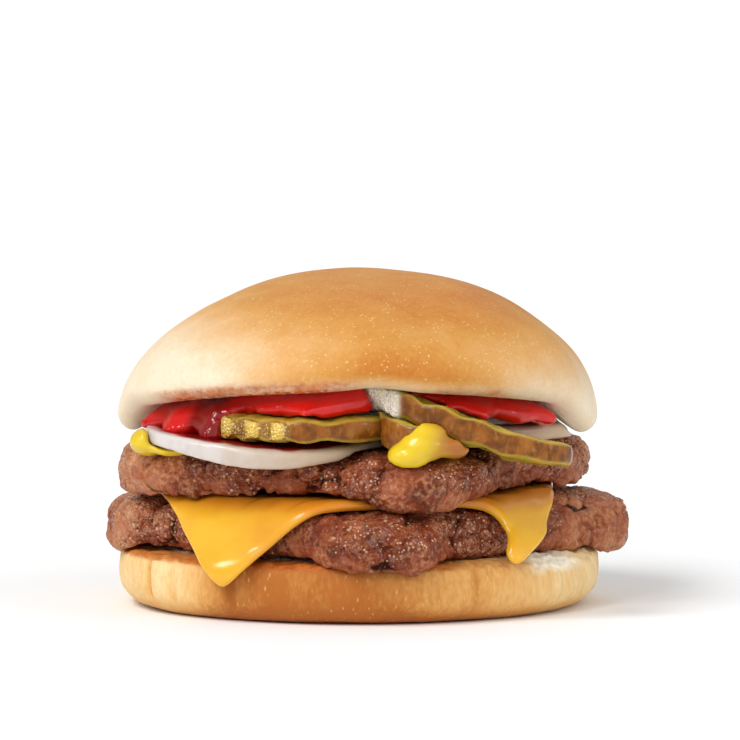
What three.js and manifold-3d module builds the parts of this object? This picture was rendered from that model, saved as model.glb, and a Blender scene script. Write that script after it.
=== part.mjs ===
// A double cheeseburger, in millimetres, +Z up, with the eater in front of it on the -Y side.
// From the table up: the heel of the bun, a square beef patty set corner to the front, a melted
// slice of cheese whose corners hang over that patty, a second patty, two slices of raw onion,
// crinkle-cut pickle, mustard, a layer of ketchup, and the domed crown of the bun, which is
// propped open at the front and pressed down over the filling at the sides and back.
// Angles are seen from above, anticlockwise from +X, so the front of the burger is at -90 degrees.

import * as THREE from "three";
import { ImprovedNoise } from "three/addons/math/ImprovedNoise.js";
import { mergeVertices } from "three/addons/utils/BufferGeometryUtils.js";
import Module from "manifold-3d";

// Driving dimensions.
const BUN_RADIUS = 50;
const HEEL_HEIGHT = 12.8;
const LOWER_PATTY_BOTTOM = 13.35;
const LOWER_PATTY_TOP = 22.8;
const CHEESE_THICKNESS = 1.9;
const CHEESE_SIDE = 90;
const UPPER_PATTY_BOTTOM = 25.75;
const UPPER_PATTY_TOP = 34.6;
const CROWN_TOP = 69.4;
const CROWN_ROOF = 49.2; // the cut face of the crown, over the middle of the filling
const GAP = 0.4; // what neighbours keep between them
const CHEESE_GAP = 0.46; // what is kept from the bent slice of cheese
const REST = 0.48; // the gap under a piece that lies flat on another

const wasm = await Module();
wasm.setup();
const perlin = new ImprovedNoise();

// Small tools.

const radians = THREE.MathUtils.degToRad;
const { lerp, smoothstep } = THREE.MathUtils;

/** How far angle is from centre, in radians, the short way round. */
function turnBetween(angle, centre) {
  return Math.abs(Math.atan2(Math.sin(angle - centre), Math.cos(angle - centre)));
}

/** 1 at centre, falling smoothly to 0 at width to either side. */
function hump(angle, centre, width) {
  return 1 - smoothstep(turnBetween(angle, centre), 0, width);
}

/** Smooth noise about 0, with lumps of the given size. */
function lumps(point, size, seed) {
  return perlin.noise(point.x / size + seed, point.y / size, point.z / size + 0.5 * seed);
}

/** A point at a radius, angle and height. */
function polar(radius, angle, height) {
  return new THREE.Vector3(radius * Math.cos(angle), radius * Math.sin(angle), height);
}

/**
 * A closed round body: a sphere's columns and rows, moved to where place(angle, row) puts them.
 * Row 0 is the top of its axis and the last row the bottom.
 */
function roundBody(columns, rows, place) {
  const geometry = new THREE.SphereGeometry(1, columns, rows);
  const { position, uv } = geometry.attributes;
  for (let i = 0; i < position.count; i++) {
    const row = Math.round((1 - uv.getY(i)) * rows);
    const onAxis = row === 0 || row === rows;
    const column = onAxis ? 0 : Math.round(uv.getX(i) * columns) % columns;
    const point = place((2 * Math.PI * column) / columns, row);
    position.setXYZ(i, point.x, point.y, point.z);
  }
  return bare(geometry);
}

/** A geometry with its shared vertices merged and nothing but its positions. */
function bare(geometry) {
  geometry.deleteAttribute("normal");
  geometry.deleteAttribute("uv");
  return mergeVertices(geometry, 1e-4);
}

function solidOf(geometry) {
  const { position } = geometry.attributes;
  return new wasm.Manifold(
    new wasm.Mesh({
      numProp: 3,
      vertProperties: Float32Array.from(position.array),
      triVerts: Uint32Array.from(geometry.index.array),
    }),
  );
}

function geometryOf(solid) {
  const { numVert, numProp, vertProperties, triVerts } = solid.getMesh();
  const positions = new Float32Array(3 * numVert);
  for (let i = 0; i < numVert; i++) {
    positions.set(vertProperties.subarray(i * numProp, i * numProp + 3), 3 * i);
  }
  return new THREE.BufferGeometry()
    .setAttribute("position", new THREE.BufferAttribute(positions, 3))
    .setIndex(new THREE.BufferAttribute(Uint32Array.from(triVerts), 1));
}

/** The same body, swollen so that each of its faces moves out by at least the distance. */
function swollen(geometry, distance) {
  const grown = geometry.clone();
  grown.computeVertexNormals();
  const { position, normal } = grown.attributes;
  const normals = Array.from({ length: position.count }, (_, i) =>
    new THREE.Vector3().fromBufferAttribute(normal, i),
  );
  const sharpness = new Float32Array(position.count).fill(1);
  const face = new THREE.Triangle();
  const facing = new THREE.Vector3();
  const corners = grown.index.array;
  for (let t = 0; t < corners.length; t += 3) {
    face.setFromAttributeAndIndices(position, corners[t], corners[t + 1], corners[t + 2]);
    face.getNormal(facing);
    for (const corner of corners.subarray(t, t + 3)) {
      sharpness[corner] = Math.min(sharpness[corner], normals[corner].dot(facing));
    }
  }
  const point = new THREE.Vector3();
  normals.forEach((outward, i) => {
    point.fromBufferAttribute(position, i);
    point.addScaledVector(outward, distance / Math.max(0.45, sharpness[i]));
    position.setXYZ(i, point.x, point.y, point.z);
  });
  return grown;
}

/** What is left of a body beside its swollen neighbours; loose scraps are dropped. */
function besides(geometry, neighbours) {
  let solid = solidOf(geometry);
  for (const neighbour of neighbours) {
    solid = solid.subtract(solidOf(neighbour));
  }
  const pieces = solid.decompose().sort((a, b) => b.volume() - a.volume());
  return geometryOf(pieces[0].simplify(0.16));
}

/** Several overlapping bodies joined into one. */
function joined(geometries) {
  const [first, ...others] = geometries.map(solidOf);
  return geometryOf(others.reduce((whole, solid) => whole.add(solid), first));
}

/** An ellipsoid, for a drop or lobe of sauce. */
function drop({ at, radii, turn = 0 }) {
  const ball = new THREE.SphereGeometry(1, 10, 7);
  ball.scale(radii[0], radii[2], radii[1]);
  ball.rotateX(Math.PI / 2);
  ball.rotateZ(radians(turn));
  ball.translate(...at);
  return bare(ball);
}

// The bun.

/** The heel: a low round loaf, cut flat on top and rounded under, with its crumb bared at the right. */
function heelBody() {
  const columns = 52;
  const rows = 12;
  const under = { out: 6.8, up: 6.2 }; // the round of the bottom edge
  const lip = { out: 2.6, down: 2.4 }; // the round of the cut edge
  const bevel = { angle: radians(-31), width: radians(27), down: 2.6, out: 4.5 };
  return roundBody(columns, rows, (angle, row) => {
    const radius = BUN_RADIUS + 1.1 * lumps(polar(1, angle, 0), 0.7, 3);
    const bared = hump(angle, bevel.angle, bevel.width);
    const top = HEEL_HEIGHT + 0.5 * lumps(polar(1, angle, 0), 0.5, 8) - 0.2;
    const edge = radius - lip.out - bevel.out * bared;
    if (row <= 2) return polar((edge * row) / 2, angle, row ? top : HEEL_HEIGHT - 0.1);
    if (row <= 5) {
      const turn = ((row - 2) * Math.PI) / 6;
      const out = edge + (lip.out + bevel.out * bared) * Math.sin(turn);
      return polar(out, angle, top - (lip.down + bevel.down * bared) * (1 - Math.cos(turn)));
    }
    if (row <= 10) {
      const turn = ((row - 6) * Math.PI) / 8;
      const out = radius - under.out * (1 - Math.cos(turn));
      return polar(out + 0.3, angle, under.up * (1 - Math.sin(turn)));
    }
    return polar(((radius - under.out) * (rows - row)) / 2, angle, 0);
  });
}

const crownRim = { out: 4.6, up: 4.1, low: 35 }; // the round of the lower edge
const crownRise = { left: radians(2), right: radians(8), over: radians(20) };

/** The height of the crown's lower edge: high at the front, low at the sides and back. */
function crownLip(angle) {
  const fromSide = Math.PI / 2 - Math.abs(turnBetween(angle, 0) - Math.PI / 2);
  if (Math.sin(angle) > 0) {
    return crownRim.low + 3.8 * smoothstep(fromSide, radians(6), radians(32));
  }
  const from = Math.cos(angle) < 0 ? crownRise.left : crownRise.right;
  const rise = smoothstep(fromSide, from, from + crownRise.over);
  const arch = Math.sin((Math.PI / 2) * Math.max(0, (fromSide - radians(26)) / radians(64)));
  const lifted = hump(angle, radians(-86), radians(12)); // over the end of a pickle
  return crownRim.low + 7.4 * rise + 4.8 * arch + 1.3 * lifted;
}

/** How far the crown reaches at an angle. */
function crownReach(angle) {
  return BUN_RADIUS + 0.1 - 0.5 * Math.cos(angle) + 0.5 * lumps(polar(1, angle, 0), 0.6, 5);
}

/** The height of the crown's cut face at a radius and angle. */
function crownUnderside(radius, angle) {
  const share = radius / (crownReach(angle) - crownRim.out);
  return lerp(CROWN_ROOF, crownLip(angle), smoothstep(share, 0.6, 1));
}

/** The crown: a dome whose rim arches over the filling at the front. */
function crownBody() {
  const columns = 54;
  const domeRows = 9;
  const rimRows = 4;
  const roofRows = 4;
  const rows = domeRows + rimRows + roofRows;
  return roundBody(columns, rows, (angle, row) => {
    const widest = crownLip(angle) + crownRim.up;
    const reach = crownReach(angle);
    if (row <= domeRows) {
      const turn = (row * Math.PI) / (2 * domeRows);
      const fullness = lerp(2, 1.84, Math.sin(turn));
      const out = reach * Math.sin(turn) ** (2 / fullness);
      const share = Math.cos(turn) ** (2 / fullness);
      const point = polar(out, angle, lerp(widest, CROWN_TOP, share));
      const dimple = 0.7 * lumps(point, 17, 11) * Math.sin(2 * turn);
      return point.add(new THREE.Vector3(Math.sin(2 * turn), 0, dimple));
    }
    if (row <= domeRows + rimRows) {
      const turn = ((row - domeRows) * Math.PI) / (2 * rimRows);
      const out = reach - crownRim.out * (1 - Math.cos(turn));
      return polar(out, angle, widest - crownRim.up * Math.sin(turn));
    }
    const radius = ((reach - crownRim.out) * (rows - row)) / roofRows;
    return polar(radius, angle, crownUnderside(radius, angle));
  });
}

// The patties.

/** How far the outline of a rounded square reaches at an angle. */
function squareReach(halfSide, angle) {
  const squareness = 6;
  const sum = Math.abs(Math.cos(angle)) ** squareness + Math.abs(Math.sin(angle)) ** squareness;
  return halfSide / sum ** (1 / squareness);
}

/** How far the edge of a patty reaches at an angle, with its bulges and cracks. */
function pattyReach(patty, angle) {
  let reach = squareReach(patty.halfSide, angle - radians(patty.turn));
  for (const [centre, width, out] of patty.bulges) {
    reach += out * hump(angle, radians(centre), radians(width));
  }
  return reach;
}

/** How far the underside of a patty hangs below its level at an angle. */
function pattySag(patty, angle) {
  return patty.sags.reduce(
    (sum, [centre, width, down]) => sum + down * hump(angle, radians(centre), radians(width)),
    patty.sag,
  );
}

/** A rough square patty, flat where it is stacked and craggy round its edge. */
function pattyBody(patty) {
  const columns = 64;
  const flatRows = 2;
  const edgeRows = 8;
  const rows = 2 * flatRows + edgeRows;
  const edge = 6.5; // how far in the round of the edge begins
  const middle = (patty.top + patty.bottom) / 2;
  const half = (patty.top - patty.bottom) / 2;
  return roundBody(columns, rows, (angle, row) => {
    const reach = pattyReach(patty, angle);
    const level = row <= flatRows ? patty.top : patty.bottom;
    const fromAxis = Math.min(row, rows - row);
    if (fromAxis < flatRows) {
      return polar(((reach - edge) * fromAxis) / flatRows, angle, level).add(patty.centre);
    }
    const turn = ((row - flatRows) * Math.PI) / edgeRows;
    const out = reach - edge + edge * Math.sin(turn) ** 0.75;
    const up = Math.sign(Math.cos(turn)) * Math.abs(Math.cos(turn)) ** 0.7;
    const point = polar(out, angle, middle + half * up);
    const covered = patty.covered.reduce(
      (most, [centre, width]) => Math.max(most, hump(angle, radians(centre), radians(width))),
      0,
    );
    const rough = Math.sin(turn) * (1 - covered);
    const crag = rough * (2.4 * lumps(point, 9, patty.seed) + 1.3 * lumps(point, 4.3, patty.seed));
    const atRim = smoothstep(out / reach, 0.8, 0.97);
    const dip = patty.dips.reduce(
      (sum, [centre, width, down]) => sum + down * hump(angle, radians(centre), radians(width)),
      0,
    );
    const sag = atRim * (pattySag(patty, angle) * (0.6 - 0.4 * up) + dip * Math.max(0, up));
    point.add(polar(crag, angle, 0.5 * crag * up - sag)).add(patty.centre);
    return point.setZ(Math.min(point.z, patty.top + 0.1));
  });
}

const lowerPatty = {
  centre: new THREE.Vector3(0.7, 0, 0),
  halfSide: 43.2,
  turn: -40,
  bottom: LOWER_PATTY_BOTTOM,
  top: LOWER_PATTY_TOP,
  seed: 4.7,
  bulges: [
    [-86, 10, 1.5],
    [-66, 7, -2.2],
    [-1, 12, 1.8],
    [14, 5, -2.4],
    [-176, 9, -1.2],
    [-158, 4.5, -1.8],
    [60, 6, -2],
    [110, 8, 1.5],
    [152, 6, -2],
  ],
  sag: 1.3,
  dips: [],
  sags: [
    [-84, 18, 2.8],
    [-170, 30, 1.6],
    [-5, 20, 2.4],
    [90, 22, 1.8],
  ],
  covered: [
    [-122, 27],
    [-44, 24],
    [56, 22],
    [139, 22],
  ],
};

const upperPatty = {
  centre: new THREE.Vector3(-0.7, 0, 0),
  halfSide: 41.3,
  turn: -25,
  bottom: UPPER_PATTY_BOTTOM,
  top: UPPER_PATTY_TOP,
  seed: 13.3,
  bulges: [
    [-79, 11, 2.2],
    [-98, 5, -1.8],
    [-58, 6, 1.2],
    [-44, 5, -2.6],
    [19, 8, 0.8],
    [-150, 8, 1.2],
    [-131, 5, -1.2],
    [48, 5, -1.6],
    [77, 6, 1.2],
    [128, 7, -1.8],
    [170, 5, -1.6],
  ],
  sag: 1.2,
  dips: [[-96, 15, 1.9]], // where the top of the rim is pressed down under the onion
  sags: [
    [-157, 24, 1.6],
    [-130, 20, 1.6],
    [-76, 20, 2.5],
    [-60, 12, 1.3],
    [-46, 16, -1.2],
    [-6, 20, 1],
    [60, 16, 1.2],
    [112, 20, 1.6],
  ],
  covered: [],
};

// The cheese.

// Each corner has its own melt, as shares of the slice: how far the sides beside it have drawn in,
// how sharply they do so, how far it is rounded off, how far it has run down, and how far it has
// moved towards the middle of the front.
const cheese = {
  turn: -83,
  centre: [0.3, -1.5],
  corners: [
    { waist: 0.01, sharp: 2, round: 0.08, run: 0.5, taper: 0.16 }, // front left
    { waist: 0.16, sharp: 6, round: 0.2, run: 0.44, taper: 0.01 }, // front right
    { waist: 0.05, sharp: 2, round: 0.05, run: 0.1, taper: 0 }, // back left
    { waist: 0.06, sharp: 2, round: 0.08, run: 0.16, taper: 0 }, // back right
  ],
  // The front right corner runs down as a tongue, which leans back to the left.
  tongue: { angle: radians(-39), lean: radians(-7), width: radians(50), narrowing: 0.28, over: 12 },
};

/** The melt of the slice at u and v, blended from its corners. */
function meltAt(key, u, v) {
  const right = smoothstep(u, -0.5, 0.5);
  const [frontLeft, frontRight, backLeft, backRight] = cheese.corners.map((corner) => corner[key]);
  const front = lerp(frontLeft, frontRight, right);
  return lerp(front, lerp(backLeft, backRight, right), smoothstep(v, -0.5, 0.5));
}

/** How a melted corner hangs, as (radius, height) from where it leaves the top of the patty. */
function drapeCurve(angle) {
  const start = pattyReach(lowerPatty, angle) - 4.2;
  const level = LOWER_PATTY_TOP + REST + CHEESE_THICKNESS / 2;
  const rim = BUN_RADIUS + CHEESE_THICKNESS / 2 + 1.5;
  const overPatty = start + 6.4;
  const foot = Math.max(rim, overPatty + 1);
  return new THREE.CatmullRomCurve3([
    polar(start, angle, level),
    polar(start + 3.3, angle, level - 0.5),
    polar(overPatty, angle, level - 4),
    polar(lerp(overPatty, foot, 0.55), angle, lerp(level - 4.2, HEEL_HEIGHT + 0.6, 0.6)),
    polar(foot, angle, HEEL_HEIGHT - 0.8),
    polar(foot + 0.3, angle, HEEL_HEIGHT - 5),
    polar(foot - 0.4, angle, HEEL_HEIGHT - 9),
  ]);
}

/** The middle of the slice at u and v, each from -1 to 1 across it. */
function cheesePoint(u, v) {
  const far = Math.max(Math.abs(u), Math.abs(v), 1e-9);
  const toCorner = Math.min(Math.abs(u), Math.abs(v)) / far;
  const drawn = meltAt("waist", u, v) * (1 - toCorner ** meltAt("sharp", u, v));
  const melt = 1 - (drawn + meltAt("round", u, v) * toCorner ** 6) * far ** 2;
  const half = (CHEESE_SIDE / 2) * melt;
  const taper = 1 - meltAt("taper", u, v) * Math.max(0, -v);
  const flat = new THREE.Vector3(u * half * taper, v * half, 0);
  flat.applyAxisAngle(new THREE.Vector3(0, 0, 1), radians(cheese.turn + 90));
  flat.add(new THREE.Vector3(...cheese.centre, 0));
  const angle = Math.atan2(flat.y, flat.x);
  const start = pattyReach(lowerPatty, angle) - 4.2;
  const over = (Math.hypot(flat.x, flat.y) - start) * (1 + meltAt("run", u, v) * toCorner ** 2);
  const level = LOWER_PATTY_TOP + REST + CHEESE_THICKNESS / 2;
  if (over <= 0) return flat.setZ(level);
  const { tongue } = cheese;
  const near = 1 - smoothstep(turnBetween(angle, tongue.angle), tongue.width / 2, tongue.width);
  const down = near * smoothstep(over, 0, tongue.over);
  const narrowed = lerp(angle, tongue.angle, tongue.narrowing * down);
  const curve = drapeCurve(narrowed + tongue.lean * down ** 3);
  return curve.getPointAt(Math.min(1, over / curve.getLength()));
}

/** The melted slice: a square sheet, bent over the patty at its corners. */
function cheeseBody() {
  const across = 16;
  const spread = (t) => Math.sign(t) * Math.abs(t) ** 0.62; // finer towards the edges
  const box = new THREE.BoxGeometry(2, 2, 2, across, across, 1);
  const { position } = box.attributes;
  const step = 0.01;
  const normal = new THREE.Vector3();
  for (let i = 0; i < position.count; i++) {
    const u = spread(position.getX(i));
    const v = spread(position.getY(i));
    const side = position.getZ(i);
    const point = cheesePoint(u, v);
    const alongU = cheesePoint(u + step, v).sub(cheesePoint(u - step, v));
    const alongV = cheesePoint(u, v + step).sub(cheesePoint(u, v - step));
    normal.crossVectors(alongU, alongV).normalize();
    point.addScaledVector(normal, (side * CHEESE_THICKNESS) / 2);
    position.setXYZ(i, point.x, point.y, point.z);
  }
  return bare(box);
}

// The onion and the pickles.

/** A slice cut across an onion: thin in the middle, thicker at a rim whose front may hang down. */
function onionBody({ centre, radius, bottom, thickness, swells, hang, columns }) {
  const rows = 8;
  const rounding = 0.5;
  return roundBody(columns, rows, (angle, row) => {
    const rim = swells.reduce(
      (sum, [at, width, more]) => sum + more * hump(angle, radians(at), radians(width)),
      thickness,
    );
    const profile = [
      [0, thickness],
      [0.7 * radius, thickness],
      [radius - rounding, rim],
      [radius, rim - rounding],
      [radius + 0.25, rim / 2],
      [radius, rounding],
      [radius - rounding, 0],
      [0.7 * radius, 0],
      [0, 0],
    ];
    const [out, up] = profile[row];
    const point = polar(out * (1 + 0.02 * Math.cos(2 * angle)), angle, bottom + up);
    const forward = Math.max(0, -point.y / radius - 0.1);
    return point.add(new THREE.Vector3(centre[0], centre[1], -hang * forward ** 3));
  });
}

/** A crinkle-cut slice of pickle: both faces are waved along the ridge direction. */
function pickleBody(pickle) {
  const { centre, radii, thickness, period, wave, ridgeAngle, level } = pickle;
  const rows = 8;
  const profile = [
    [0, 1],
    [0.62, 1],
    [0.965, 1],
    [1, 0.72],
    [1.01, 0],
    [1, -0.72],
    [0.965, -1],
    [0.62, -1],
    [0, -1],
  ];
  return roundBody(pickle.columns, rows, (angle, row) => {
    const [out, face] = profile[row];
    const point = new THREE.Vector3(
      out * radii[0] * Math.cos(angle),
      out * radii[1] * Math.sin(angle),
      0,
    );
    const across = point.x * Math.cos(radians(ridgeAngle)) + point.y * Math.sin(radians(ridgeAngle));
    const fade = 1 - pickle.flatEnd * smoothstep(point.x, 2, 14);
    const ridge = wave * fade * Math.sin((2 * Math.PI * across) / period + pickle.phase);
    const height = face < 0 && pickle.beaded ? -ridge : ridge;
    const thin = 1 - 0.15 * smoothstep(point.x, 0, 14);
    point.z = level(point.x, point.y) + (face * thin * thickness) / 2 + height;
    return point.add(new THREE.Vector3(centre[0], centre[1], 0));
  });
}

const onionLeft = {
  centre: [-18.2, -20.6],
  radius: 25.4,
  bottom: UPPER_PATTY_TOP + REST,
  thickness: 2.2,
  swells: [
    [-108, 75, 2.6],
    [178, 40, 1.4],
  ],
  hang: 6,
  columns: 36,
};

const onionRight = {
  centre: [25.5, -3],
  radius: 19.5,
  bottom: UPPER_PATTY_TOP + REST,
  thickness: 3.3,
  swells: [],
  hang: 0,
  columns: 28,
};

const pickleLeft = {
  centre: [-9.2, -25.6],
  radii: [20.9, 19.8],
  thickness: 5,
  period: 6,
  wave: 0.7,
  ridgeAngle: -48,
  phase: 0.6,
  beaded: true,
  flatEnd: 0.4,
  columns: 48,
  level: (x, y) => 39.7 - 0.4 * Math.max(0, -y / 19.8) ** 2,
};

const pickleRight = {
  centre: [22.2, -36],
  radii: [21.2, 11.6],
  thickness: 5.8,
  period: 7.6,
  wave: 0.85,
  ridgeAngle: -24,
  phase: 2.4,
  beaded: false,
  flatEnd: 0.7,
  columns: 46,
  level: (x, y) => 38.9 - 4.9 * Math.tanh(x / 13) - 0.13 * (y + 4) - 0.32 * Math.min(0, x + 9),
};

const pickleMiddle = {
  centre: [12.9, -38.6],
  radii: [9.4, 9.2],
  thickness: 7,
  period: 7,
  wave: 0.3,
  ridgeAngle: 60,
  phase: 0,
  beaded: false,
  flatEnd: 0,
  columns: 20,
  level: (x, y) => 38.7 - 0.12 * x - 1.6 * Math.max(0, -y / 9.2) ** 2,
};

// The sauces.

const mustardLeft = [
  { at: [-43.2, -25.2, 35.6], radii: [4.4, 4.6, 2.9] },
  { at: [-38.6, -28.6, 34.8], radii: [4.6, 3.6, 2] },
];

const mustardMiddle = [
  { at: [9.9, -48.4, 34.7], radii: [4.6, 4.2, 2.9], turn: -20 },
  { at: [13, -47.8, 36.6], radii: [5.2, 4, 3.3] },
  { at: [14.2, -46.8, 39], radii: [4.2, 3.4, 2.7] },
  { at: [18.2, -46.2, 36.4], radii: [4.8, 3.4, 2.5], turn: 20 },
];

// Lobes of ketchup round the rim: angle, width, how far out and how far down each one runs.
const ketchupLobes = [
  [-158, 13, 9.6, 6.2],
  [-146, 15, 9.8, 7.4],
  [-133, 12, 9.4, 8.6],
  [-115, 13, 7.4, 2.6],
  [-102, 11, 9.4, 3.2],
  [-88, 8, 3.6, 1.6],
  [-73, 11, 5.4, 2],
  [-57, 14, 8.4, 4.8],
  [-43, 10, 7.4, 5.8],
  [-29, 12, 9.6, 6.8],
  [-10, 13, 5.4, 7.4],
  [17, 11, 5.5, 7.8],
  [38, 13, 7, 8.2],
  [63, 12, 6.4, 7.4],
  [86, 13, 7.4, 8.2],
  [109, 11, 6.2, 7.6],
  [131, 13, 7.2, 8.2],
  [155, 12, 6, 7.6],
  [177, 12, 5, 7.6],
];

/** The ketchup: a pool pressed flat under the crown, whose rim runs out and down in lobes. */
function ketchupBody() {
  const columns = 52;
  const pool = { radius: 38.5, floor: 43.9, under: 0.45 };
  const profile = [
    [0, 1],
    [0.6, 1],
    [0.84, 1],
    [0.95, 0.92],
    [1, 0.5],
    [0.985, 0.12],
    [0.93, 0],
    [0.62, 0],
    [0, 0],
  ];
  return roundBody(columns, profile.length - 1, (angle, row) => {
    const [share, height] = profile[row];
    let reach = pool.radius;
    let down = 0;
    for (const [centre, width, lobeOut, lobeDown] of ketchupLobes) {
      const strength = hump(angle, radians(centre), radians(width));
      reach = Math.max(reach, pool.radius + lobeOut * strength);
      down = Math.max(down, lobeDown * strength);
    }
    const radius = share * reach;
    const top = crownUnderside(radius, angle) - pool.under;
    const bottom = Math.min(pool.floor - down * smoothstep(share, 0.62, 0.93), top - 1.2);
    return polar(radius, angle, lerp(bottom, top, height));
  });
}

// The stack. Each piece makes room for the pieces listed before it.

const finishes = {
  crust: { color: 0xd79a55, roughness: 0.55, metalness: 0 },
  heelCrust: { color: 0xdda45e, roughness: 0.65, metalness: 0 },
  beef: { color: 0x7a4636, roughness: 0.45, metalness: 0 },
  cheese: { color: 0xf6b73c, roughness: 0.3, metalness: 0 },
  onion: { color: 0xe4e2da, roughness: 0.25, metalness: 0 },
  pickle: { color: 0x927522, roughness: 0.25, metalness: 0 },
  mustard: { color: 0xebcb32, roughness: 0.3, metalness: 0 },
  ketchup: { color: 0xb3141a, roughness: 0.2, metalness: 0 },
};

const stack = [
  ["bun_crown", crownBody(), finishes.crust],
  ["bun_heel", heelBody(), finishes.heelCrust],
  ["cheese_slice", cheeseBody(), finishes.cheese],
  ["patty_lower", pattyBody(lowerPatty), finishes.beef],
  ["patty_upper", pattyBody(upperPatty), finishes.beef],
  ["onion_left", onionBody(onionLeft), finishes.onion],
  ["onion_right", onionBody(onionRight), finishes.onion],
  ["pickle_left", pickleBody(pickleLeft), finishes.pickle],
  ["pickle_right", pickleBody(pickleRight), finishes.pickle],
  ["pickle_middle", pickleBody(pickleMiddle), finishes.pickle],
  ["mustard_left", joined(mustardLeft.map(drop)), finishes.mustard],
  ["mustard_middle", joined(mustardMiddle.map(drop)), finishes.mustard],
  ["ketchup", ketchupBody(), finishes.ketchup],
];

const burger = new THREE.Group();
const placed = [];
for (const [name, body, finish] of stack) {
  const geometry = besides(body, placed);
  geometry.computeVertexNormals();
  const mesh = new THREE.Mesh(geometry, new THREE.MeshStandardMaterial(finish));
  mesh.name = name;
  burger.add(mesh);
  placed.push(swollen(body, name === "cheese_slice" ? CHEESE_GAP : GAP));
}

// The origin is on the table, under the middle of the whole.
const box = new THREE.Box3().setFromObject(burger);
const middle = box.getCenter(new THREE.Vector3());
burger.position.set(-middle.x, -middle.y, -box.min.z);

export default burger;
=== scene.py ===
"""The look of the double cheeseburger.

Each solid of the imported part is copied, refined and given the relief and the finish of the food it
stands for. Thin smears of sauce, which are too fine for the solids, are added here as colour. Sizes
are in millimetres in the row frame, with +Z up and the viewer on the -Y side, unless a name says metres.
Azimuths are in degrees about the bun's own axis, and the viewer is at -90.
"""

import logging
import math
from dataclasses import dataclass, field
from enum import Enum

import bmesh
import bpy
import numpy as np
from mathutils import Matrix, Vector


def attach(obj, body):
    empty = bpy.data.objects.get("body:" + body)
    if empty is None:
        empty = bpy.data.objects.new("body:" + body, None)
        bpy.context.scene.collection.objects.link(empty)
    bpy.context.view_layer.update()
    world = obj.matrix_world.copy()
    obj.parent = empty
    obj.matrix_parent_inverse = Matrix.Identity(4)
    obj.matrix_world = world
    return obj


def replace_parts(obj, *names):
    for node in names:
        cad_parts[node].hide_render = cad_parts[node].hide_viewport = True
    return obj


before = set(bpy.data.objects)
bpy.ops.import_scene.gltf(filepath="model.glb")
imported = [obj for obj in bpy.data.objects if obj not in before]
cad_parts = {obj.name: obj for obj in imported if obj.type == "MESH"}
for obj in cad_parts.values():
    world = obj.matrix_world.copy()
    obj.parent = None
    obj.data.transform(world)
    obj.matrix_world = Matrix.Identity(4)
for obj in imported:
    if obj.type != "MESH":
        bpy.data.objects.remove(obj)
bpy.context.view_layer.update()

MM = 0.001
AXIS = np.array([-1.491, 0.716, 0.0])  # the bun's own axis

log = logging.getLogger("burger")

Array = np.ndarray
Socket = bpy.types.NodeSocket
Mesh = bpy.types.Mesh
Material = bpy.types.Material
Pair = tuple[float, float]
Triple = tuple[float, float, float]


# Numbers


HASH_FACTORS = (374761393, 668265263, 2147483647)
HASH_STEP = 974634777
HASH_MIXERS = (1274126177, 2246822519)
WORD = 0xFFFFFFFF
NOISE_SHIFT = 7.31  # from one seed's noise to the next one's
CELL_SHIFT = 3.17
DOME = 0.8  # square of a granule's radius, in units of its size


def ease(low: float | Array, high: float | Array, x: Array) -> Array:
    """0 at low, 1 at high, and smooth between, either way round."""
    t = np.clip((x - low) / (high - low), 0.0, 1.0)
    return t * t * (3.0 - 2.0 * t)


@dataclass(frozen=True)
class Fade:
    """A smooth change from 0 at start to 1 at end, either way round."""

    start: float
    end: float

    def __call__(self, x: Array) -> Array:
        """How far each value has come from start to end."""
        return ease(self.start, self.end, x)


def angle_to(points: Array, centre: float | Array) -> Array:
    """Degrees from each point's azimuth to centre, the short way round."""
    away = np.degrees(np.arctan2(points[:, 1] - AXIS[1], points[:, 0] - AXIS[0])) - centre
    return np.abs((away + 180.0) % 360.0 - 180.0)


def radius_of(points: Array) -> Array:
    """Distance of each point from the bun's axis."""
    return np.hypot(points[:, 0] - AXIS[0], points[:, 1] - AXIS[1])


@dataclass(frozen=True)
class Sector:
    """A smooth change about an azimuth, from 0 at start degrees from it to 1 at end."""

    centre: float
    start: float
    end: float

    def __call__(self, points: Array) -> Array:
        """How far each point has come from start to end."""
        return ease(self.start, self.end, angle_to(points, self.centre))


def stretched(points: Array, upright: float) -> Array:
    """The points with their heights scaled, which draws noise out upwards."""
    return points * np.array([1.0, 1.0, upright])


def hashed(cell: Array, seed: int) -> Array:
    """Draws a repeatable random number for each cell of a grid.

    Args:
        cell: Rows of three whole numbers.
        seed: Which draw to use.

    Returns:
        A number from 0 to 1 for each row.
    """
    h = sum(cell[..., i] * factor for i, factor in enumerate(HASH_FACTORS)) & WORD
    h = (h + seed * HASH_STEP) & WORD
    h = ((h ^ (h >> 13)) * HASH_MIXERS[0]) & WORD
    h = ((h ^ (h >> 16)) * HASH_MIXERS[1]) & WORD
    return ((h ^ (h >> 15)) & 0xFFFFFF) / float(0xFFFFFF)


def noise(points: Array, size: float, seed: int = 0) -> Array:
    """Samples smooth value noise.

    Args:
        points: One row each.
        size: The size of its features.
        seed: Which noise to use.

    Returns:
        A number from -1 to 1 for each point.
    """
    p = points / size + seed * NOISE_SHIFT
    base = np.floor(p).astype(np.int64)
    f = p - base
    f = f * f * f * (f * (f * 6.0 - 15.0) + 10.0)
    total = np.zeros(len(points))
    for dx in (0, 1):
        wx = f[:, 0] if dx else 1.0 - f[:, 0]
        for dy in (0, 1):
            wy = f[:, 1] if dy else 1.0 - f[:, 1]
            for dz in (0, 1):
                wz = f[:, 2] if dz else 1.0 - f[:, 2]
                total += wx * wy * wz * hashed(base + np.array([dx, dy, dz]), seed)
    return 2.0 * total - 1.0


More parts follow.
